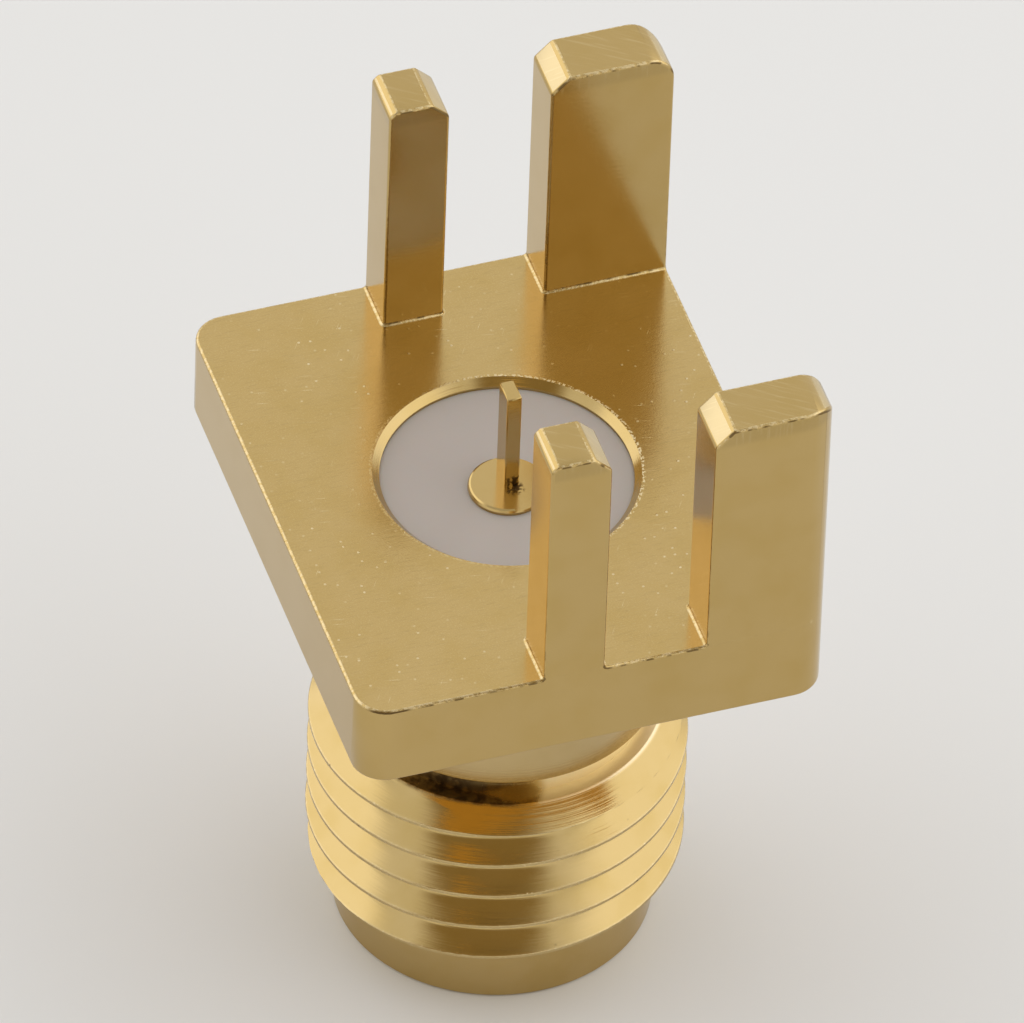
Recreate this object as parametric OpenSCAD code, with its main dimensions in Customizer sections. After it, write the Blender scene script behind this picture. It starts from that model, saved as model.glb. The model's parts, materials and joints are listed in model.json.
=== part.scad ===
// Edge-mount coaxial jack, female, with a 1/4-36 threaded barrel
//
// Three pieces: a body turned and milled from one round bar and gold plated, the white
// insulating rod pressed into it, and the centre contact inside the rod.
// The jack stands on the mouth of its barrel with its legs up. The origin lies on the
// barrel axis in the plane of the mouth. Z points from the mouth towards the legs, X from
// the board's bare side to the wide legs, and Y along the edge of the board.

/* [Flange] */
// Width across the board's thickness (X)
flange_w = 7.92; // [7:0.01:10]
// Width along the board's edge (Y)
flange_d = 9.53; // [9:0.01:12]
// Thickness, from the barrel side to the board side
flange_t = 1.57; // [1.2:0.01:2.5]
// Diameter of the round bar, which still shows at the four corners
bar_d = 11.96; // [11.6:0.02:15]
// Bevel turned on the barrel side of the corners, where they reach the bar's surface
corner_bevel = 0.12; // [0.06:0.02:0.6]

/* [Legs] */
// Height of the legs above the flange
leg_h = 4.75; // [3:0.05:8]
// Thickness of each leg along Y
leg_t = 0.99; // [0.7:0.01:1.4]
// Width of the thin legs, which lie on the board's upper face
thin_leg_w = 1.03; // [0.6:0.01:1.6]
// Gap for the board between thin and wide legs
slot_w = 1.73; // [1:0.01:2]
// Board's upper face, measured from the barrel axis
slot_x = 0.12; // [-0.2:0.01:0.4]
// Lead-in bevel at the top of the slot
lead_in = 0.3; // [0.1:0.02:0.5]
// Rounding of the wide legs' outer top edge
heel_r = 0.45; // [0.2:0.05:0.8]
// Small bevel on the thin legs' outer top edge
toe_bevel = 0.1; // [0.04:0.02:0.3]

/* [Barrel] */
// Length of the body from the mouth to the flange's board side
body_len = 9.53; // [9:0.01:13]
// Diameter over the thread's crests
thread_d = 6.25; // [6.19:0.01:6.33]
// Pitch of the thread, 36 turns to the inch
pitch = 0.7056; // [0.6:0.0001:0.8]
// Length of the threaded part
thread_len = 3.5; // [2.8:0.1:4.4]
// Depth of the thread
thread_depth = 0.41; // [0.36:0.01:0.42]
// Width of the flat left on the thread's crests
crest_w = 0.07; // [0.05:0.01:0.12]
// Turn of the thread about the axis
thread_turn = 108; // [0:4:356]
// Diameter of the plain pilot at the mouth
pilot_d = 5.3; // [5.2:0.01:5.4]
// Length of the plain pilot
pilot_len = 1.05; // [0.6:0.05:1.3]
// Diameter of the round neck below the flange
neck_d = 5.36; // [5.2:0.02:5.4]
// Diameter at the bottom of the thread's run-out groove
groove_d = 4.9; // [4.8:0.02:5.1]
// Width of the run-out groove
groove_w = 0.46; // [0.3:0.02:0.7]

/* [Bores] */
// Diameter of the bore that holds the insulator
bore_d = 4.15; // [4:0.01:4.3]
// Diameter of the wider bore at the mouth, which takes the plug
mouth_d = 4.62; // [4.58:0.01:4.7]
// Depth of the wider bore
mouth_depth = 1.93; // [1.88:0.01:1.98]
// Bevel at the flange end of the bore
rim_bevel = 0.12; // [0.05:0.01:0.2]

/* [Insulator] */
// Depth of its end below the flange's board side
recess = 0.17; // [0.12:0.01:0.4]
// Clearance all round between pieces that are pressed together
fit_gap = 0.01; // [0.005:0.005:0.02]

/* [Contact] */
// Diameter of the contact
pin_d = 1.27; // [1.2:0.01:1.3]
// Depth of its front end below the insulator's face
pin_recess = 0.1; // [0:0.05:0.25]
// Diameter of the socket for the plug's pin
socket_d = 0.94; // [0.9:0.01:0.96]
// Depth of the socket
socket_depth = 2.9; // [2.6:0.1:3.5]
// Width of the saw cuts that part the socket's four fingers
cut_w = 0.2; // [0.1:0.02:0.3]
// Length of the saw cuts
cut_len = 2.2; // [1.5:0.1:2.5]
// Diameter of the head behind the insulator
head_d = 1.3; // [1.2:0.01:1.4]
// Height of the head above the insulator
head_rise = 0.1; // [0.05:0.01:0.2]
// Head's distance from the axis along X, where the contact sits a little askew
head_x = -0.06; // [-0.1:0.02:0.1]
// Head's distance from the axis along Y
head_y = -0.22; // [-0.24:0.02:0.24]
// Thickness of the solder tab
tab_t = 0.25; // [0.15:0.01:0.4]
// Width of the solder tab along Y
tab_w = 0.44; // [0.3:0.02:0.6]
// Height of the solder tab above the head
tab_h = 1.93; // [1:0.05:3]
// Tab's middle along Y
tab_y = -0.05; // [-0.1:0.01:0.1]

/* [Hidden] */
$fn = 96;

flange_z = body_len - flange_t;
thread_z = pilot_len + thread_len;
groove_z = thread_z + groove_w;
diel_z = body_len - recess;
head_z = diel_z + head_rise;
// the head's root reaches this far into the insulator
head_root = 0.5;
gold = "#c8a860";
eps = 0.01;

// Barrel and neck as one turned profile, from the mouth up into the flange
module turned_barrel() {
    r = thread_d / 2;
    pr = pilot_d / 2;
    rise = r - pr;
    gr = groove_d / 2;
    // the thread ends in a cone as steep as its own flanks
    end_r = neck_d / 2 + 0.02;
    rotate_extrude()
        polygon([
            [0, 0], [pr - 0.08, 0], [pr, 0.08], [pr, pilot_len],
            [r, pilot_len + rise * 0.6], [r, thread_z - (r - end_r) * tan(30)],
            [end_r, thread_z],
            [gr, thread_z], [gr, groove_z], [neck_d / 2 - 0.05, groove_z],
            [neck_d / 2, groove_z + 0.05], [neck_d / 2, flange_z + flange_t / 2],
            [0, flange_z + flange_t / 2]
        ]);
}

// The bar's round section, bevelled on the barrel side
module bar_envelope() {
    r = bar_d / 2;
    rotate_extrude()
        polygon([
            [0, flange_z], [r - corner_bevel, flange_z], [r, flange_z + corner_bevel],
            [r, body_len + leg_h + 1], [0, body_len + leg_h + 1]
        ]);
}

// Outline of the flange and legs along the board's edge, in X and Z
module thin_leg_outline() {
    x0 = slot_x - thin_leg_w;
    top = body_len + leg_h;
    polygon([
        [x0, body_len - eps], [slot_x, body_len - eps], [slot_x, top - lead_in],
        [slot_x - lead_in, top], [x0 + toe_bevel, top], [x0, top - toe_bevel]
    ]);
}

module wide_leg_outline() {
    x0 = slot_x + slot_w;
    x1 = flange_w / 2;
    top = body_len + leg_h;
    difference() {
        polygon([
            [x0, body_len - eps], [x1, body_len - eps], [x1, top],
            [x0 + lead_in, top], [x0, top - lead_in]
        ]);
        difference() {
            translate([x1 - heel_r, top - heel_r]) square(heel_r + 1);
            translate([x1 - heel_r, top - heel_r]) circle(heel_r);
        }
    }
}

// Both legs of one kind, flush with the flange's ends
module leg_pair() {
    for (y = [-flange_d / 2 + leg_t, flange_d / 2])
        translate([0, y, 0]) rotate([90, 0, 0]) linear_extrude(leg_t) children();
}

// Cutter for the thread: the space between two crests, swept along a right-handed helix.
// Its ends run out in the groove and over the pilot, which are both thinner than the root.
module thread_cutter() {
    r = thread_d / 2;
    t = tan(30);
    over = 0.05;
    open_w = pitch - crest_w + 2 * over * t;
    root_w = pitch - crest_w - 2 * thread_depth * t;
    section = [
        [r - thread_depth, -root_w / 2], [r + over, -open_w / 2],
        [r + over, open_w / 2], [r - thread_depth, root_w / 2]
    ];
    steps = 40;
    first = floor(steps * (pilot_len - pitch) / pitch);
    last = ceil(steps * (thread_z + groove_w / 2) / pitch);
    n = last - first;
    points = [
        for (i = [first:last]) let (a = 360 * i / steps, z = pitch * (i / steps + 0.5))
            for (p = section)
                [p[0] * cos(a - thread_turn), p[0] * sin(a - thread_turn), z + p[1]]
    ];
    sides = [
        for (i = [0:n - 1]) for (k = [0:3]) let (j = (k + 1) % 4, b = 4 * i)
            each [[b + k, b + 4 + k, b + j], [b + j, b + 4 + k, b + 4 + j]]
    ];
    polyhedron(points, concat(sides, [[3, 2, 1, 0]], [[4 * n, 4 * n + 1, 4 * n + 2, 4 * n + 3]]));
}

module bores() {
    // bore for the insulator
    translate([0, 0, -1]) cylinder(d = bore_d, h = body_len + 2);
    // wider bore for the plug
    translate([0, 0, -1]) cylinder(d = mouth_d, h = mouth_depth + 1);
    // bevel at the flange end
    translate([0, 0, body_len - rim_bevel])
        cylinder(d1 = bore_d, d2 = bore_d + 4 * rim_bevel, h = 2 * rim_bevel);
}

module body() {
    color(gold)
    difference() {
        union() {
            turned_barrel();
            intersection() {
                union() {
                    translate([-flange_w / 2, -flange_d / 2, flange_z])
                        cube([flange_w, flange_d, flange_t]);
                    leg_pair() thin_leg_outline();
                    leg_pair() wide_leg_outline();
                }
                bar_envelope();
            }
        }
        bores();
        thread_cutter();
    }
}

// The contact's straight part and the root of its head, wider by gap all round
module contact_core(gap) {
    translate([0, 0, mouth_depth + pin_recess])
        cylinder(d = pin_d + 2 * gap, h = diel_z - head_root / 2 - mouth_depth - pin_recess);
    translate([head_x, head_y, diel_z - head_root]) cylinder(d = head_d + 2 * gap, h = head_root);
}

module dielectric() {
    color("#f1efec")
    difference() {
        translate([0, 0, mouth_depth])
            cylinder(d = bore_d - 2 * fit_gap, h = diel_z - mouth_depth);
        contact_core(fit_gap);
        // open end of the contact's hole
        translate([0, 0, mouth_depth - 1]) cylinder(d = pin_d + 2 * fit_gap, h = 2);
        translate([head_x, head_y, diel_z - eps]) cylinder(d = head_d + 2 * fit_gap, h = 1);
    }
}

module contact() {
    z0 = mouth_depth + pin_recess;
    color(gold)
    difference() {
        union() {
            contact_core(0);
            // head with a broken edge
            translate([head_x, head_y, diel_z - eps])
                cylinder(d = head_d, h = head_rise / 2 + eps);
            translate([head_x, head_y, diel_z + head_rise / 2])
                cylinder(d1 = head_d, d2 = head_d - head_rise, h = head_rise / 2);
            // solder tab, its face in the plane of the board
            translate([slot_x - tab_t, tab_y - tab_w / 2, head_z - eps])
                cube([tab_t, tab_w, tab_h + eps]);
        }
        // socket for the plug's pin
        translate([0, 0, z0 - 1]) cylinder(d = socket_d, h = socket_depth + 1, $fn = 48);
        translate([0, 0, z0 - eps])
            cylinder(d1 = socket_d + 0.16, d2 = socket_d, h = 0.08 + eps, $fn = 48);
        // crossed saw cuts
        for (a = [0, 90]) rotate(a)
            translate([-pin_d, -cut_w / 2, z0 - 1]) cube([2 * pin_d, cut_w, cut_len + 1]);
    }
}

body();
dielectric();
contact();
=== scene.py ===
# %% [markdown]
# # Edge-mount coaxial jack
# A gold plated jack that straddles the edge of a circuit board. One turned and milled body
# carries the thread, the flange and four legs; a white rod is pressed into it, and the
# contact runs through the rod and ends in a flat solder tab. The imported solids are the
# frame: every piece made here stands where they say and rides on the one body, "root".

# %% Load the frame
import json
import math
import bmesh
import bpy
from mathutils import Matrix, Vector

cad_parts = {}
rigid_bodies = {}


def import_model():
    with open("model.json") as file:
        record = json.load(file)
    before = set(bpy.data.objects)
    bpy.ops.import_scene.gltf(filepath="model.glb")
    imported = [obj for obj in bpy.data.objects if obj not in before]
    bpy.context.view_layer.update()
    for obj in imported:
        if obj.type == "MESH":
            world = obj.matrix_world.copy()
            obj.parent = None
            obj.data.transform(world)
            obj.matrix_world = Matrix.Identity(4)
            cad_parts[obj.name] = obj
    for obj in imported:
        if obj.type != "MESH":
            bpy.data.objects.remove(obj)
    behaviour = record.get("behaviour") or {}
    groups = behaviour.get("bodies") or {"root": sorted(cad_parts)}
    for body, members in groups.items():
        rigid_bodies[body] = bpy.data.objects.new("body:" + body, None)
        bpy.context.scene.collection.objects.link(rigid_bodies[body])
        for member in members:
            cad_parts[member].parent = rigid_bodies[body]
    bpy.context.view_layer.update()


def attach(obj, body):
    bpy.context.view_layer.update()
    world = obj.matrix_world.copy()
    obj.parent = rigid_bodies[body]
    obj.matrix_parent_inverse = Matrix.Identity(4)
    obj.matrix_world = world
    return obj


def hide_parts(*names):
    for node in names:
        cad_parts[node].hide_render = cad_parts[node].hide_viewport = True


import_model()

# %% [markdown]
# ## The camera
# The camera stands far away with a long lens, so that upright edges stay almost parallel. It
# looks down at about 45 degrees, from a little left of the front edge, and it is rolled by
# two degrees, so the jack leans slightly in the frame.

# %% Camera
EYE = Vector((-0.08632, -0.24593, 0.26497))
CAMERA_RIGHT = Vector((0.95147, -0.30658, 0.02667))
CAMERA_UP = Vector((0.19705, 0.67352, 0.71242))

camera_data = bpy.data.cameras.new("camera")
camera_data.lens = 790.5
camera_data.sensor_width = 36
camera_data.clip_start = 0.01
camera_data.clip_end = 20
camera = bpy.data.objects.new("camera", camera_data)
bpy.context.collection.objects.link(camera)
right = CAMERA_RIGHT.normalized()
up = (CAMERA_UP - CAMERA_UP.dot(right) * right).normalized()
back = right.cross(up)
for row in range(3):
    for column, axis in enumerate((right, up, back, EYE)):
        camera.matrix_world[row][column] = axis[row]
bpy.context.scene.camera = camera
print("camera looks along", [round(-x, 3) for x in back])

# %% [markdown]
# ## Shader maths as Python
# A material is a little sum that runs at every point of a surface. Written as nodes it is
# hard to read, so one small class wraps a socket and turns +, -, * and / into Math nodes,
# and one method adds any other node.

# %% Sockets that can be added and multiplied
class Value:
    """One output socket, with arithmetic."""

    def __init__(self, bench, socket):
        self.bench = bench
        self.socket = socket

    def math(self, operation, *others):
        node = self.bench.add("ShaderNodeMath", {"operation": operation},
                              dict(enumerate((self, *others))))
        return node.out(0)

    def __add__(self, other):
        return self.math("ADD", other)

    __radd__ = __add__

    def __mul__(self, other):
        return self.math("MULTIPLY", other)

    __rmul__ = __mul__

    def __sub__(self, other):
        return self.math("SUBTRACT", other)

    def __rsub__(self, other):
        return (self * -1) + other

    def __truediv__(self, other):
        return self.math("DIVIDE", other)

    def __rtruediv__(self, other):
        return (self ** -1) * other

    def __pow__(self, other):
        return self.math("POWER", other)

    def __abs__(self):
        return self.math("ABSOLUTE")

    def between(self, low, high):
        """0 at low, 1 at high, smooth in between."""
        node = self.bench.add("ShaderNodeMapRange", {"interpolation_type": "SMOOTHSTEP"},
                              {"Value": self, "From Min": low, "From Max": high})
        return node.out("Result")

    def inside(self, start, full, fade, end):
        """0 up to start, 1 from full to fade, and 0 again from end on."""
        return self.between(start, full) * (1 - self.between(fade, end))


class Node:
    """One node, whose outputs come back as values."""

    def __init__(self, bench, node):
        self.bench = bench
        self.node = node

    def out(self, name):
        return Value(self.bench, self.node.outputs[name])


class Bench:
    """The node tree of one material or of the world."""

    def __init__(self, owner):
        owner.use_nodes = True
        self.tree = owner.node_tree
        self.tree.nodes.clear()

    def add(self, kind, settings=None, inputs=None):
        """Any node, with its settings and with values or links on its inputs."""
        node = self.tree.nodes.new(kind)
        for name, value in (settings or {}).items():
            setattr(node, name, value)
        for name, value in (inputs or {}).items():
            socket = node.inputs[name]
            if isinstance(value, Value):
                self.tree.links.new(value.socket, socket)
            else:
                socket.default_value = value
        return Node(self, node)

    def mix(self, factor, first, second):
        """A colour between two colours."""
        first, second = (value if isinstance(value, Value) else (*value, 1)
                         for value in (first, second))
        # a Mix node numbers its factor 0 and its two colours 6 and 7
        return self.add("ShaderNodeMix", {"data_type": "RGBA"},
                        {0: factor, 6: first, 7: second}).out(2)

    def scaled(self, vector, factors):
        """A place stretched along its three axes."""
        return self.add("ShaderNodeVectorMath", {"operation": "MULTIPLY"},
                        {0: vector, 1: factors}).out("Vector")

    def noise(self, place, scale, detail=2.0):
        """Soft random patches from 0 to 1, scale of them to a unit of length."""
        return self.add("ShaderNodeTexNoise", {}, {
            "Vector": place, "Scale": scale, "Detail": detail, "Roughness": 0.5}).out("Fac")


print("shader helper ready")

# %% [markdown]
# ## Gold plate
# The gold lies a few microns thick on the brass, so it follows every mark of the tools
# below. Seen straight on it mirrors its surroundings in yellow; near the edge of a round it
# turns pale, which a metallic shader does by itself. The finishes differ only in their marks,
# so one function plates a surface and each finish brings its own marks as masks.

# %% Tones of the plating
MM = 1000.0
GOLD = (0.55, 0.39, 0.155)
GOLD_DEEP = (0.53, 0.37, 0.135)
TURNED = (0.55, 0.40, 0.17)
TURNED_DEEP = (0.52, 0.37, 0.14)
BURNISHED_AND_HIGHLIGHT = (0.92, 0.78, 0.50)              # bare bright spots: nicks, burrs, rubbed edges; also painted highlight on lead-in bevels, groove and edges
SOIL_AND_PAINTED_SHADE = (0.07, 0.035, 0.012)               # dirt in nicks, specks and crumbs, and painted shade: the dark groove and the dark line on front edges
UNDERSIDE_PAINTED_REFLECTION = (0.80, 0.46, 0.085)             # painted reflection: redder, standing in for light bounced between gold faces, so the thread mirrors orange streaks
print("deepest and brightest gold:", TURNED_DEEP, BURNISHED_AND_HIGHLIGHT)


def place_in_mm(bench):
    """Where a point lies in the frame, in millimetres."""
    coordinates = bench.add("ShaderNodeTexCoord").out("Object")
    return bench.scaled(coordinates, (MM, MM, MM))


def parts_of(bench, place):
    """X, Y, Z and the distance from the barrel's axis."""
    split = bench.add("ShaderNodeSeparateXYZ", {}, {0: place})
    x, y, z = split.out("X"), split.out("Y"), split.out("Z")
    return x, y, z, (x * x + y * y) ** 0.5


# %% [markdown]
# Spots are drawn by a net of random cells: a few cells are chosen, and each chosen one shows
# a spot round its middle. A net in the plane costs a third of a net in space, so flat faces
# use it. Every finish ends in the same way: its tones are mixed by masks, from plain gold to
# rubbed wear and painted highlight to dirt and painted shade, and its relief goes through a Bump
# node.

# %% Marks and plating that every finish shares
def flecks(bench, place, stretch, size, share, net_in="3D"):
    """Small spots at random places: share is how many cells of the net hold one."""
    net = bench.add("ShaderNodeTexVoronoi", {"feature": "F1", "voronoi_dimensions": net_in},
                    {"Vector": bench.scaled(place, stretch), "Scale": 1.0, "Randomness": 1.0})
    pick = bench.add("ShaderNodeSeparateColor", {}, {0: net.out("Color")})
    chosen = 1 - pick.out("Red").between(share, share + 0.01)
    spot = 1 - net.out("Distance").between(size * 0.4, size)
    return spot * chosen * (0.3 + 0.7 * pick.out("Green"))


def turned_about(bench, place, degrees):
    """The place, turned round the Z axis."""
    return bench.add("ShaderNodeVectorRotate", {"rotation_type": "Z_AXIS"},
                     {"Vector": place, "Angle": math.radians(degrees)}).out("Vector")


def gold_finish(name, marks, tones, roughness=0.16, bump=0.3, depth=0.004, under=None):
    """Gold plate over tool marks. marks(bench, place) gives relief, bright (wear and painted
    highlight), dark (dirt and painted shade) and dull.
    """
    material = bpy.data.materials.new(name)
    bench = Bench(material)
    place = place_in_mm(bench)
    relief, bright, dirt_and_painted_shade, dull = marks(bench, place)
    cloud = bench.noise(place, 1.3, 3)
    fine = bench.noise(place, 22, 2)
    plain = bench.mix(cloud.between(0.35, 0.75), *tones)
    # painted reflection: a redder tone where under() marks, standing in for light bounced between
    # gold faces
    if under:
        height = parts_of(bench, place)[2]
        plain = bench.mix(under(height), plain, UNDERSIDE_PAINTED_REFLECTION)
    shaded = bench.mix(dull, plain, tuple(0.72 * part for part in tones[0]))
    # rubbed wear and painted highlight share this pale mix
    rubbed = bench.mix(bright, shaded, BURNISHED_AND_HIGHLIGHT)
    # dirt and painted shade share this dark mix
    colour = bench.mix(dirt_and_painted_shade, rubbed, SOIL_AND_PAINTED_SHADE)
    rough = cloud * 0.05 + fine * 0.08 + (roughness - 0.065) + dirt_and_painted_shade * 0.3 + bright * 0.3
    normal = bench.add("ShaderNodeBump", {}, {"Strength": bump, "Distance": depth / MM,
                                              "Height": relief}).out("Normal")
    shader = bench.add("ShaderNodeBsdfPrincipled", {}, {
        "Base Color": colour, "Metallic": 1.0, "Roughness": rough, "Normal": normal})
    bench.add("ShaderNodeOutputMaterial", {}, {"Surface": shader.out("BSDF")})
    print("finish", name)
    return material


# %% [markdown]
# ## The milled finish
# The board side of the flange has fine straight lines, as an end mill leaves them, with
# bright pinpricks and short scratches. There are burrs at the bore's rim and crumbs of dirt
# at the tab's foot. The tops of the legs are duller, with slanting lines. The bevels that lead
# the board in get a painted highlight: they are painted paler by the way they face. The
# flange's barrel side is painted redder, a painted reflection that stands in for light bounced
# between the gold faces, so the thread mirrors orange streaks. Heights are measured from the
# mouth's face, in millimetres.

# %% Milled finish
BODY_LEN, FLANGE_T, LEG_H = 9.53, 1.57, 4.75
FLANGE_Z = BODY_LEN - FLANGE_T
TOP = BODY_LEN + LEG_H
BORE_RIM = 2.2


def faced(bench):
    """Which way the surface faces, as X, Y and Z."""
    return bench.add("ShaderNodeSeparateXYZ", {}, {
        0: bench.add("ShaderNodeNewGeometry").out("Normal")})


def milled_marks(bench, place):
    x, y, z, away = parts_of(bench, place)
    board_side = z.inside(BODY_LEN - 0.03, BODY_LEN - 0.005, BODY_LEN + 0.03, BODY_LEN + 0.07)
    leg_top = z.between(TOP - 0.38, TOP - 0.23)
    # painted highlight: faces sloping at about 45 degrees, the lead-in bevels, are painted paler
    lead_in_painted_highlight = faced(bench).out("Z").inside(0.5, 0.6, 0.8, 0.9)

    grain = bench.noise(bench.scaled(place, (5.0, 42.0, 20.0)), 1.0, 3)
    satin = bench.noise(place, 34, 2)
    slant = bench.noise(bench.scaled(turned_about(bench, place, 35), (1.5, 30.0, 1.0)), 1.0, 2)

    patches = 0.45 + 0.55 * bench.noise(place, 0.55, 1).between(0.42, 0.62)
    pricks = flecks(bench, place, (5.5, 5.5, 1.0), 0.16, 0.13, "2D") * board_side * patches
    one_way = turned_about(bench, place, 12)
    other_way = turned_about(bench, place, -58)
    scratches = flecks(bench, one_way, (1.3, 20.0, 1.0), 0.18, 0.03, "2D") + \
        flecks(bench, other_way, (1.6, 26.0, 1.0), 0.17, 0.018, "2D")

    ring = board_side * away.inside(BORE_RIM - 0.03, BORE_RIM - 0.01,
                                    BORE_RIM + 0.02, BORE_RIM + 0.06)
    most_on_the_right = 0.25 + 0.75 * (x + y * 0.3).between(0.2, 1.4)
    burrs = bench.noise(place, 19, 1).between(0.48, 0.56) * ring * most_on_the_right
    near_the_tab = 1 - ((x - 0.03) ** 2 + (y + 0.33) ** 2).between(0.008, 0.035)
    crumbs = bench.noise(place, 11, 2).between(0.47, 0.55) * near_the_tab * \
        z.inside(BODY_LEN - 0.13, BODY_LEN - 0.11, BODY_LEN + 0.05, BODY_LEN + 0.17)

    relief = grain * (0.4 + 0.3 * board_side) + satin * 0.35 * board_side + pricks + burrs * 2
    spots = (pricks * 0.7 + scratches * 0.35 * board_side + burrs * 0.8
             + slant.between(0.55, 0.7) * leg_top * 0.12).math("MINIMUM", 1.0)
    bright = spots + satin.between(0.5, 0.8) * board_side * 0.16 + lead_in_painted_highlight * 0.42
    dull = leg_top * 0.4 + (1 - grain.between(0.25, 0.5)) * board_side * 0.3
    return relief, bright, crumbs * 0.9, dull


def on_underside(height):
    """1 on the flange's barrel side, where the redder painted reflection goes."""
    return height.inside(FLANGE_Z - 0.01, FLANGE_Z - 0.007, FLANGE_Z + 0.006, FLANGE_Z + 0.01)


gold_milled = gold_finish("gold_milled", milled_marks, (GOLD, GOLD_DEEP), roughness=0.17,
                          bump=0.42, under=on_underside)

# %% [markdown]
# ## The turned finish
# A lathe tool leaves rings. On the thread the crests are the most exposed: they are nicked,
# and the nicks are dark. The run-out groove is painted dark, as painted shade, most of it at
# the left of the front, while the groove's right part gets a painted highlight, so it is paler.

# %% Turned finish
THREAD_R, THREAD_Z, GROOVE_Z, NECK_R = 3.125, 4.55, 5.01, 2.68
CREST = THREAD_R - 0.01


def turned_marks(bench, place):
    x, y, z, away = parts_of(bench, place)
    around = y.math("ARCTAN2", x)
    rings = bench.add("ShaderNodeCombineXYZ", {}, {"X": around * 0.7, "Y": z * 34, "Z": away * 34})
    lines = bench.noise(rings.out("Vector"), 1.0, 4)

    crest = away.between(CREST - 0.02, CREST)
    rubbed = bench.noise(place, 30, 2).between(0.55, 0.75) * crest
    nicks = flecks(bench, place, (4.5, 4.5, 9.0), 0.16, 0.3) * away.between(CREST - 0.12, CREST)
    specks = flecks(bench, place, (1.7, 1.7, 2.5), 0.05, 0.07)

    groove = z.inside(THREAD_Z - 0.05, THREAD_Z + 0.01, GROOVE_Z - 0.06, GROOVE_Z + 0.01) * \
        (1 - away.between(NECK_R + 0.04, NECK_R + 0.1))
    # painted shade at the groove's left front, painted highlight at its right part
    left_part = (x * -0.64 + y * -0.77).between(2.28, 2.46) * groove
    groove_painted_highlight = (x * 0.85 + y * -0.52).between(1.12, 1.34) * groove
    groove_painted_shade = (0.55 + 0.45 * bench.noise(place, 5, 2).between(0.4, 0.6)) * left_part
    neck = z.inside(GROOVE_Z - 0.01, GROOVE_Z + 0.01, FLANGE_Z - 0.06, FLANGE_Z - 0.02) * \
        away.between(NECK_R - 0.08, NECK_R - 0.06)

    relief = lines * (1 - 0.72 * neck)
    bright = rubbed * 0.35 + crest * 0.15 + neck * 0.16 + groove_painted_highlight
    dirt_and_painted_shade = (nicks * 0.85 + groove_painted_shade * 0.95 + specks).math("MINIMUM", 1.0)
    return relief, bright, dirt_and_painted_shade, crest * 0.1


gold_turned = gold_finish("gold_turned", turned_marks, (TURNED, TURNED_DEEP), roughness=0.14,
                          bump=0.42, depth=0.006)

# %% [markdown]
# ## Worn edges
# Every edge of the flange and the legs is a narrow rounded strip that catches the light. Its
# upper part is painted bright, partly rubbed wear and partly a painted highlight. On the front
# edges the lower part has a thin dark line, a painted reflection of the dark surroundings near
# the camera; it is broken in places, and it is thickest at the front left corner. The way the
# surface faces tells the two parts of the strip apart.

# %% Edge finish
def edge_marks(bench, place):
    x, y, z = parts_of(bench, place)[:3]
    nick = bench.noise(place, 4, 4)
    rub = bench.noise(place, 16, 2)
    facing = faced(bench)
    up = facing.out("Z")
    front = facing.out("Y") * -1
    side = abs(facing.out("X"))

    # the edges of the lead-in bevels stay plain
    quiet = z.between(TOP - 1.08, TOP - 0.88) * (side - abs(front)).between(0.1, 0.3)
    lip = 1 - ((x + 3.5) ** 2 + (y + 4.74) ** 2).between(0.05, 0.17)
    # painted reflection: a dark line where the edge faces the camera's dark surroundings
    painted_dark_line = front.between(0.25, 0.6) * up.inside(0.05, 0.2, 0.6, 0.78) * \
        (nick.between(0.46, 0.58) * 0.85 + lip).math("MINIMUM", 1.0)
    # the upper part is painted bright: partly rubbed wear, partly a painted highlight
    bright = rub.between(0.35, 0.65) * up.between(0.25, 0.6) * 0.42 * (1 - painted_dark_line)
    relief = (rub + nick * 0.6) * (1 - quiet)
    return relief, bright * (1 - quiet), painted_dark_line * 0.85, rub * 0


gold_edge = gold_finish("gold_edge", edge_marks, (GOLD, GOLD_DEEP), roughness=0.2, bump=0.4,
                        depth=0.01)

# %% [markdown]
# ## The insulator's white
# The rod is a fluoropolymer: smooth, a little waxy and slightly see-through, so it looks
# softer than white paint. Its white is painted down to a greyish tone, as painted shade of
# the bore it sits in.

# %% Insulator finish
def insulator_finish():
    material = bpy.data.materials.new("white_insulator")
    bench = Bench(material)
    place = place_in_mm(bench)
    cloud = bench.noise(place, 0.8, 3)
    # painted shade: greyish tones darker than the white rod, for the shade of the bore
    colour = bench.mix(cloud, (0.45, 0.40, 0.365), (0.48, 0.425, 0.39))
    normal = bench.add("ShaderNodeBump", {}, {
        "Strength": 0.1, "Distance": 0.003 / MM, "Height": bench.noise(place, 14, 3)}).out("Normal")
    shader = bench.add("ShaderNodeBsdfPrincipled", {}, {
        "Base Color": colour, "Roughness": 0.42 + 0.1 * bench.noise(place, 6), "Normal": normal,
        "Subsurface Weight": 0.15, "Subsurface Scale": 0.0006})
    bench.add("ShaderNodeOutputMaterial", {}, {"Surface": shader.out("BSDF")})
    return material


white_insulator = insulator_finish()
print("finish white_insulator")

# %% [markdown]
# ## Solids from profiles
# Turned work is a profile spun round an axis, milled work is a flat outline pushed along a
# line, and the two are joined and cut by Boolean modifiers, as a shop joins and cuts. All
# work is in millimetres and shrinks to metres at the end, so small bevels stay accurate.

# %% Helpers for solids
def new_piece(name, mesh):
    piece = bpy.data.objects.new(name, mesh)
    bpy.context.collection.objects.link(piece)
    return piece


def from_bmesh(name, work):
    bmesh.ops.recalc_face_normals(work, faces=work.faces)
    mesh = bpy.data.meshes.new(name)
    work.to_mesh(mesh)
    work.free()
    return new_piece(name, mesh)


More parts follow.
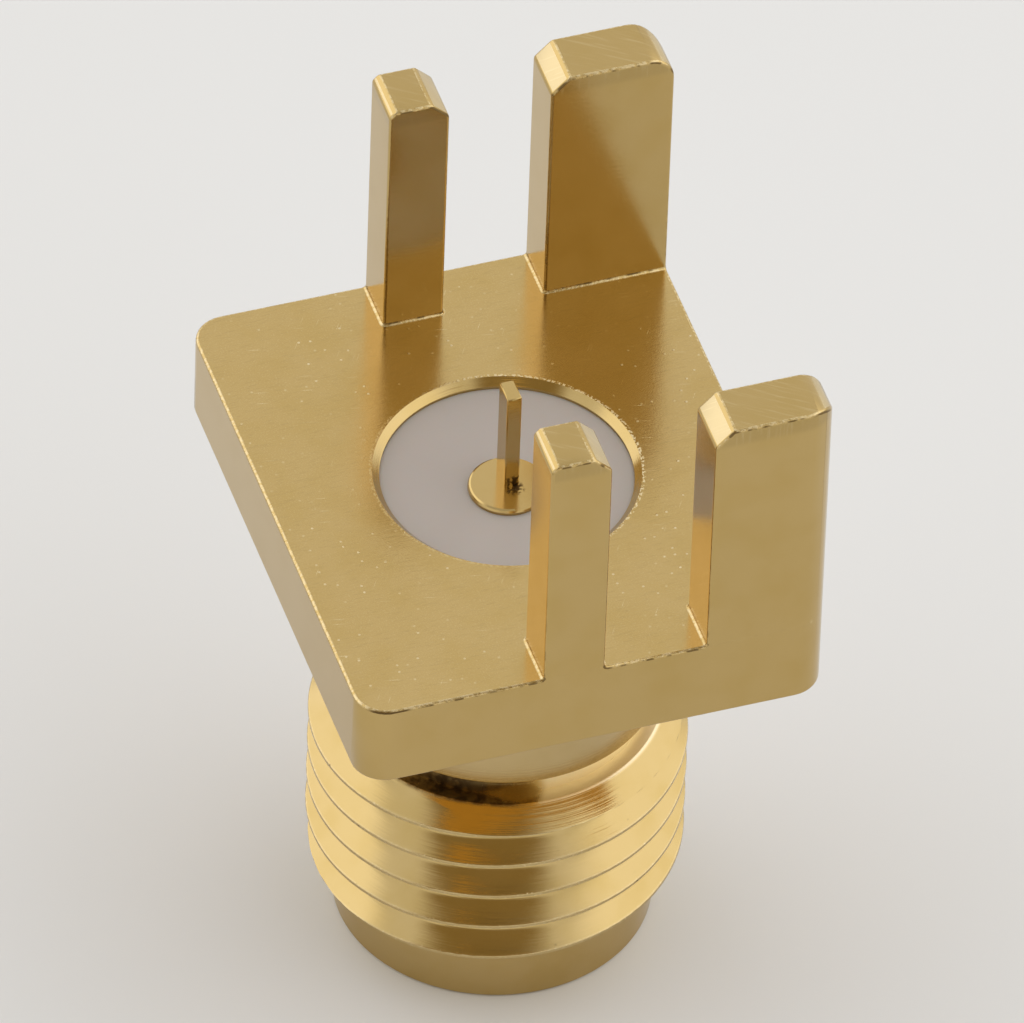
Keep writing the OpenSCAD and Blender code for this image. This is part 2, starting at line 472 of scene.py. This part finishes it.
def spun(name, profile, around=144):
    """A closed solid from (radius, height) points, the first and last on the axis."""
    work = bmesh.new()
    rings = []
    for radius, height in profile:
        if radius < 1e-6:
            rings.append([work.verts.new((0, 0, height))])
        else:
            rings.append([work.verts.new((radius * math.cos(2 * math.pi * i / around),
                                          radius * math.sin(2 * math.pi * i / around), height))
                          for i in range(around)])
    for low, high in zip(rings, rings[1:]):
        for i in range(around):
            j = (i + 1) % around
            if len(low) == 1:
                work.faces.new((low[0], high[i], high[j]))
            elif len(high) == 1:
                work.faces.new((low[i], high[0], low[j]))
            else:
                work.faces.new((low[i], high[i], high[j], low[j]))
    return from_bmesh(name, work)


def pushed(name, outline, low, high, axis="Y"):
    """A prism from a flat outline: in X and Z along Y, or in X and Y along Z."""
    work = bmesh.new()
    ends = []
    for t in (low, high):
        ends.append([work.verts.new((a, t, b) if axis == "Y" else (a, b, t))
                     for a, b in outline])
    work.faces.new(ends[0])
    work.faces.new(list(reversed(ends[1])))
    for i in range(len(outline)):
        j = (i + 1) % len(outline)
        work.faces.new((ends[0][i], ends[0][j], ends[1][j], ends[1][i]))
    return from_bmesh(name, work)


def baked(piece):
    """Turns a piece's modifiers into its mesh."""
    depsgraph = bpy.context.evaluated_depsgraph_get()
    mesh = bpy.data.meshes.new_from_object(piece.evaluated_get(depsgraph))
    piece.modifiers.clear()
    piece.data = mesh
    return piece


def worked(piece, operation, *tools):
    """Joins tools to a piece, cuts them out of it, or keeps what they share."""
    for tool in tools:
        cut = piece.modifiers.new("cut", "BOOLEAN")
        cut.operation = operation
        cut.solver = "EXACT"
        cut.object = tool
        baked(piece)
        bpy.data.objects.remove(tool)
    return piece


def cleaned(piece, least, flat=0):
    """Merges points closer than least and faces flatter than flat degrees; closes holes."""
    work = bmesh.new()
    work.from_mesh(piece.data)
    bmesh.ops.remove_doubles(work, verts=work.verts, dist=least)
    if flat:
        bmesh.ops.dissolve_limit(work, angle_limit=math.radians(flat), verts=work.verts,
                                 edges=work.edges)
    loose = [edge for edge in work.edges if not edge.link_faces]
    bmesh.ops.delete(work, geom=loose, context="EDGES")
    open_edges = [edge for edge in work.edges if edge.is_boundary]
    bmesh.ops.holes_fill(work, edges=open_edges, sides=8)
    work.to_mesh(piece.data)
    work.free()
    return piece


def edges_broken(piece, width, segments=2, angle=30, finish=0):
    """Rounds every sharp edge by a little."""
    bevel = piece.modifiers.new("bevel", "BEVEL")
    bevel.width = width
    bevel.segments = segments
    bevel.limit_method = "ANGLE"
    bevel.angle_limit = math.radians(angle)
    bevel.use_clamp_overlap = False
    bevel.material = finish
    bevel.miter_outer = "MITER_ARC"
    return baked(piece)


def moved(piece, x, y):
    piece.data.transform(Matrix.Translation((x, y, 0)))
    return piece


def to_metres(piece):
    piece.data.transform(Matrix.Scale(1 / MM, 4))
    return piece


print("solid helpers ready")

# %% [markdown]
# ## The flange and its legs
# The body is milled from a round bar, whose surface still shows at the four corners. It runs
# softly into the flats, so one arc draws each corner. The legs grow straight out of the
# flange, in one piece with it: two thin ones for the board's upper face and two wide ones for
# its lower face, with bevels that lead the board in.

# %% Outlines of the flange and legs, mm
FLANGE_W, FLANGE_D = 7.92, 9.53
CORNER_R = 0.56
LEG_T = 0.99
SLOT_X, THIN_W, SLOT_W = 0.12, 1.03, 1.73
LEAD_IN, HEEL_R, TOE = 0.3, 0.45, 0.1
FOOT = BODY_LEN - 0.2                       # the legs' outlines start inside the flange


def plan_outline():
    """The flange from above, each corner an arc."""
    centres = ((FLANGE_W / 2 - CORNER_R, FLANGE_D / 2 - CORNER_R, 0),
               (CORNER_R - FLANGE_W / 2, FLANGE_D / 2 - CORNER_R, 90),
               (CORNER_R - FLANGE_W / 2, CORNER_R - FLANGE_D / 2, 180),
               (FLANGE_W / 2 - CORNER_R, CORNER_R - FLANGE_D / 2, 270))
    return [(x + CORNER_R * math.cos(math.radians(start + step)),
             y + CORNER_R * math.sin(math.radians(start + step)))
            for x, y, start in centres for step in range(0, 91, 10)]


def wide_leg_outline():
    x0, x1 = SLOT_X + SLOT_W, FLANGE_W / 2
    heel = [(x1 - HEEL_R + HEEL_R * math.cos(a), TOP - HEEL_R + HEEL_R * math.sin(a))
            for a in [math.radians(9 * k) for k in range(11)]]
    return [(x0, FOOT), (x1, FOOT)] + heel + \
        [(x0 + LEAD_IN, TOP), (x0, TOP - LEAD_IN)]


def thin_leg_outline():
    x0 = SLOT_X - THIN_W
    return [(x0, FOOT), (SLOT_X, FOOT), (SLOT_X, TOP - LEAD_IN),
            (SLOT_X - LEAD_IN, TOP), (x0 + TOE, TOP), (x0, TOP - TOE)]


print("slot for the board:", SLOT_W, "mm wide,", LEG_H, "mm deep")

# %% [markdown]
# Each leg is first cut to the plan outline, so that its outer corners are rounded like the
# flange's. Then a Boolean union joins legs and flange. A bevel on every sharp edge comes
# last, and its faces get a material slot of their own.

# %% Mill the flange and legs
MILLED_SLOT, TURNED_SLOT, EDGE_SLOT = 0, 1, 2
half_d = FLANGE_D / 2
flange = pushed("flange", plan_outline(), FLANGE_Z, BODY_LEN, "Z")
legs = []
for low, high in ((-half_d, -half_d + LEG_T), (half_d - LEG_T, half_d)):
    legs.append(pushed("leg", thin_leg_outline(), low, high))
    legs.append(pushed("leg", wide_leg_outline(), low, high))
for leg in legs:
    worked(leg, "INTERSECT", pushed("plan", plan_outline(), FLANGE_Z - 1, TOP + 2, "Z"))
worked(flange, "UNION", *legs)
cleaned(flange, least=0.004, flat=0.5)
for blank in range(3):
    flange.data.materials.append(None)
edges_broken(flange, 0.05, segments=3, finish=EDGE_SLOT)
print("flange and legs:", len(flange.data.polygons), "faces")

# %% [markdown]
# ## The threaded barrel
# A thread is a groove that climbs one pitch a turn. The barrel is a fine net of points round
# the axis; each point's radius comes from how far it is from the nearest crest along the
# axis. A chamfer at each end trims the crests, so the thread fades in and out as a cut one.

# %% Sizes of the barrel, mm
PITCH = 0.7056
CREST_W = 0.055
ROOT_SOFT = 0.085                           # how round the bottom of the groove is
FLANK = math.tan(math.radians(35.5))        # 5.5 degrees flatter than the solid's flanks
THREAD_TURN = 108
PILOT_R, PILOT_LEN, PILOT_BEVEL = 2.65, 1.05, 0.285
THREAD_LEN = THREAD_Z - PILOT_LEN
GROOVE_R = 2.45
AROUND = 160                                # points in a ring
ROW = 0.0085                                # height between two rings of the thread


def thread_radius(angle, height):
    """Radius of the thread at an angle in degrees and a height."""
    turn = (height / PITCH - (angle + THREAD_TURN) / 360) % 1.0
    off = abs(turn - 0.5) * PITCH           # 0 in the groove's middle
    wall = (PITCH - CREST_W) / 2
    deepest = THREAD_R - math.hypot(wall, ROOT_SOFT) / FLANK
    return min(THREAD_R, deepest + math.hypot(off, ROOT_SOFT) / FLANK)


def trim(height):
    """Largest radius that the end chamfers leave at a height."""
    low = PILOT_R + (height - PILOT_LEN) * (THREAD_R - PILOT_R) / PILOT_BEVEL
    high = NECK_R + 0.02 + (THREAD_Z - height) / FLANK
    return max(min(low, high, THREAD_R), 0)


print("thread:", round(THREAD_LEN / PITCH, 1), "turns")

# %% [markdown]
# The barrel is built ring by ring, from the mouth up. Under and over the thread a few rings
# are enough; along the thread they lie close together, because each one cuts its flanks.

# %% Turn the barrel
rows = int(round(THREAD_LEN / ROW))
heights = [PILOT_LEN + THREAD_LEN * k / rows for k in range(rows + 1)]
work = bmesh.new()
rings = []


def ring(radius_at, height):
    rings.append([work.verts.new((radius_at(a) * math.cos(math.radians(a)),
                                  radius_at(a) * math.sin(math.radians(a)), height))
                  for a in [360 * i / AROUND for i in range(AROUND)]])


for radius, height in ((PILOT_R - 0.07, 0), (PILOT_R - 0.03, 0.012), (PILOT_R, 0.05),
                       (PILOT_R, 0.4), (PILOT_R, PILOT_LEN - 0.004)):
    ring(lambda a: radius, height)
for height in heights:
    ring(lambda a: max(min(thread_radius(a, height), trim(height)), PILOT_R), height)
for radius, height in ((NECK_R + 0.01, THREAD_Z + 0.002), (GROOVE_R, THREAD_Z + 0.003),
                       (GROOVE_R, GROOVE_Z - 0.03),
                       (GROOVE_R + 0.03, GROOVE_Z), (NECK_R - 0.04, GROOVE_Z),
                       (NECK_R - 0.01, GROOVE_Z + 0.012), (NECK_R, GROOVE_Z + 0.04),
                       (NECK_R, FLANGE_Z - 0.4), (NECK_R, FLANGE_Z + 0.3)):
    ring(lambda a: radius, height)
for low, high in zip(rings, rings[1:]):
    for i in range(AROUND):
        j = (i + 1) % AROUND
        work.faces.new((low[i], low[j], high[j], high[i]))
work.faces.new(list(reversed(rings[0])))
work.faces.new(rings[-1])
barrel = from_bmesh("barrel", work)
print("barrel:", len(barrel.data.polygons), "faces in", len(rings), "rings")

# %% [markdown]
# The bore is one spun solid too: the wide mouth for a plug, the narrower bore for the rod and
# the bevel at its rim. It is cut after barrel and flange are joined, so it goes through both.

# %% Join barrel and flange, then bore them
MOUTH_R, MOUTH_DEPTH, BORE_R, RIM_BEVEL = 2.31, 1.93, 2.075, 0.12
worked(flange, "UNION", barrel)
bore = spun("bore", [
    (0, -1), (MOUTH_R + 0.05, -1), (MOUTH_R + 0.05, 0), (MOUTH_R + 0.015, 0.015),
    (MOUTH_R, 0.05), (MOUTH_R, MOUTH_DEPTH), (BORE_R + 0.02, MOUTH_DEPTH),
    (BORE_R, MOUTH_DEPTH + 0.02), (BORE_R, BODY_LEN - RIM_BEVEL),
    (BORE_R + RIM_BEVEL, BODY_LEN), (BORE_R + RIM_BEVEL, BODY_LEN + 1),
    (0, BODY_LEN + 1)], 160)
worked(flange, "DIFFERENCE", bore)
body = to_metres(flange)
body.name = "plated_body"
print("body:", len(body.data.polygons), "faces")

# %% [markdown]
# Shading is soft, but it breaks where two faces meet at a sharp angle. Each face of the body
# then gets the finish of the tool that made it: what lies on the barrel or in the bore was
# turned, the bevels are edges, and all the rest was milled.

# %% Shade and finish the body
def dressed(piece, node, *materials, angle=35):
    """Gives a piece its materials and soft shading, and puts it in its node's place."""
    piece.data.materials.clear()
    for material in materials:
        piece.data.materials.append(material)
    for face in piece.data.polygons:
        face.use_smooth = True
    piece.data.set_sharp_from_angle(angle=math.radians(angle))
    weigh = piece.modifiers.new("weigh", "WEIGHTED_NORMAL")
    weigh.keep_sharp = True
    weigh.weight = 100
    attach(piece, "root")
    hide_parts(node)


edge_faces = {face.index for face in body.data.polygons if face.material_index == EDGE_SLOT}
dressed(body, "body", gold_milled, gold_turned, gold_edge)
for face in body.data.polygons:
    corners = [body.data.vertices[index].co * MM for index in face.vertices]
    widest = max(math.hypot(point.x, point.y) for point in corners)
    highest = max(point.z for point in corners)
    bored = widest < BORE_R + RIM_BEVEL + 0.03
    lathed = highest < FLANGE_Z + 0.02 and widest < THREAD_R + 0.05
    if face.index in edge_faces:
        face.material_index = EDGE_SLOT
    else:
        face.material_index = TURNED_SLOT if bored or lathed else MILLED_SLOT
print("edge faces:", len(edge_faces))

# %% [markdown]
# ## The insulator and the contact
# The rod fills the bore. The contact is a pin with a sprung socket at the mouth, sawn into
# four fingers; at the flange end its head stands just proud of the rod, and what the mill
# left of it is the flat tab that is soldered to the board.

# %% Insulator
RECESS, FIT = 0.17, 0.001                    # pressed together, so hardly a gap
ROD_R = BORE_R - FIT
PIN_R, HEAD_R, HEAD_RISE = 0.635, 0.65, 0.1
HEAD_X, HEAD_Y = -0.06, -0.22
ROD_TOP = BODY_LEN - RECESS
rod = spun("insulator_rod", [
    (0, MOUTH_DEPTH), (ROD_R - 0.03, MOUTH_DEPTH), (ROD_R, MOUTH_DEPTH + 0.03),
    (ROD_R, ROD_TOP), (0, ROD_TOP)], 160)
pin_hole = spun("hole", [(0, MOUTH_DEPTH - 1), (PIN_R + FIT, MOUTH_DEPTH - 1),
                         (PIN_R + FIT, ROD_TOP - 0.25), (0, ROD_TOP - 0.25)], 64)
head_hole = spun("hole", [(0, ROD_TOP - 0.5), (HEAD_R + FIT, ROD_TOP - 0.5),
                          (HEAD_R + FIT, ROD_TOP + 1), (0, ROD_TOP + 1)], 64)
moved(head_hole, HEAD_X, HEAD_Y)
worked(rod, "DIFFERENCE", pin_hole, head_hole)
cleaned(rod, least=0.0002)
to_metres(rod)
dressed(rod, "dielectric", white_insulator)
print("insulator:", len(rod.data.polygons), "faces")

# %% [markdown]
# The contact is built like the body: pin and head are spun, the tab is a small prism, and the
# socket and its saw cuts are taken out at the end. The head sits a little off the axis.

# %% Contact
TAB_T, TAB_W, TAB_H, TAB_Y = 0.25, 0.44, 1.93, -0.05
HEAD_STEP = 0.03                            # one side of the head is this much lower
SOCKET_R, SOCKET_DEPTH, CUT_W, CUT_LEN, PIN_RECESS = 0.47, 2.9, 0.2, 2.2, 0.1
pin_z = MOUTH_DEPTH + PIN_RECESS
contact = spun("contact_pin", [
    (0, pin_z), (PIN_R - 0.04, pin_z), (PIN_R, pin_z + 0.04), (PIN_R, ROD_TOP - 0.26),
    (0, ROD_TOP - 0.26)], 96)
head = spun("head", [(0, ROD_TOP - 0.49), (HEAD_R, ROD_TOP - 0.49), (HEAD_R, ROD_TOP + 0.05),
                     (HEAD_R - 0.02, ROD_TOP + 0.085), (HEAD_R - 0.05, ROD_TOP + HEAD_RISE),
                     (0, ROD_TOP + HEAD_RISE)], 96)
moved(head, HEAD_X, HEAD_Y)
step = pushed("step", [(SLOT_X - TAB_T, -2), (2, -2), (2, 2), (SLOT_X - TAB_T, 2)],
              ROD_TOP + HEAD_RISE - HEAD_STEP, ROD_TOP + 1, "Z")
worked(head, "DIFFERENCE", step)
tab = pushed("tab", [(SLOT_X - TAB_T, TAB_Y - TAB_W / 2), (SLOT_X, TAB_Y - TAB_W / 2),
                     (SLOT_X, TAB_Y + TAB_W / 2), (SLOT_X - TAB_T, TAB_Y + TAB_W / 2)],
             ROD_TOP, ROD_TOP + HEAD_RISE + TAB_H, "Z")
edges_broken(tab, 0.02)
worked(contact, "UNION", head, tab)
socket = spun("socket", [(0, pin_z - 1), (SOCKET_R + 0.08, pin_z - 1), (SOCKET_R + 0.08, pin_z),
                         (SOCKET_R, pin_z + 0.08), (SOCKET_R, pin_z + SOCKET_DEPTH),
                         (0, pin_z + SOCKET_DEPTH + 0.2)], 64)
cuts = [pushed("cut", [(-a, -b), (a, -b), (a, b), (-a, b)], pin_z - 1, pin_z + CUT_LEN, "Z")
        for a, b in ((1, CUT_W / 2), (CUT_W / 2, 1))]
worked(contact, "DIFFERENCE", socket, *cuts)
cleaned(contact, least=0.0002)
to_metres(contact)
dressed(contact, "contact", gold_milled, angle=20)
print("contact:", len(contact.data.polygons), "faces")

# %% [markdown]
# ## The floor and the light
# Polished metal shows its surroundings more than itself. Here they are a pale floor under an
# even white sky, with a brighter sheet of light at the back left and one at the right. The
# sky is a little dimmer overhead, and it has a warm dark patch near the camera. The patch
# draws the dark band down the middle of the thread, and the sheets make its sides pale.

# %% Floor
def floor_finish():
    material = bpy.data.materials.new("floor_finish")
    bench = Bench(material)
    grain = bench.noise(place_in_mm(bench), 0.05, 2)
    colour = bench.mix(grain, (0.80, 0.80, 0.795), (0.82, 0.82, 0.815))
    shader = bench.add("ShaderNodeBsdfPrincipled", {}, {"Base Color": colour, "Roughness": 0.9,
                                                        "Specular IOR Level": 0.1})
    bench.add("ShaderNodeOutputMaterial", {}, {"Surface": shader.out("BSDF")})
    return material


floor_mesh = bpy.data.meshes.new("floor")
floor_mesh.from_pydata([(-3, -3, 0), (3, -3, 0), (3, 3, 0), (-3, 3, 0)], [], [(0, 1, 2, 3)])
floor = new_piece("floor", floor_mesh)
floor.data.materials.append(floor_finish())

# %% [markdown]
# The surroundings are a sum of soft spots. A direction's closeness to a spot's middle is a
# dot product, and a smooth step turns it into the spot.

# %% Surroundings
world = bpy.data.worlds.new("studio")
bpy.context.scene.world = world
bench = Bench(world)
direction = bench.add("ShaderNodeTexCoord").out("Generated")


def along(vector):
    return bench.add("ShaderNodeVectorMath", {"operation": "DOT_PRODUCT"},
                     {0: direction, 1: vector}).out("Value")


def towards(azimuth, elevation):
    """A direction in degrees: azimuth 0 looks to -Y, 90 to +X."""
    a, e = math.radians(azimuth), math.radians(elevation)
    return (math.sin(a) * math.cos(e), -math.cos(a) * math.cos(e), math.sin(e))


left_sheet = along(towards(-140, 28)).between(0.76, 0.88)
right_sheet = along(towards(85, 36)).between(0.70, 0.92)
overhead = along((0, 0, 1)).between(0.85, 0.92)
camera_shade = along(towards(-28, 45)).between(0.83, 0.93)
bright = 0.95 + left_sheet * 0.6 + right_sheet * 0.55 - overhead * 0.35
tint = bench.mix(camera_shade, (1.0, 1.0, 1.0), (0.36, 0.27, 0.13))
shade = bench.add("ShaderNodeBackground", {}, {"Color": tint, "Strength": bright})
bench.add("ShaderNodeOutputWorld", {}, {"Surface": shade.out("Background")})
print("surroundings ready")

# %% [markdown]
# ## The end
# The view transform is set to Standard.

bpy.context.scene.view_settings.view_transform = "Standard"
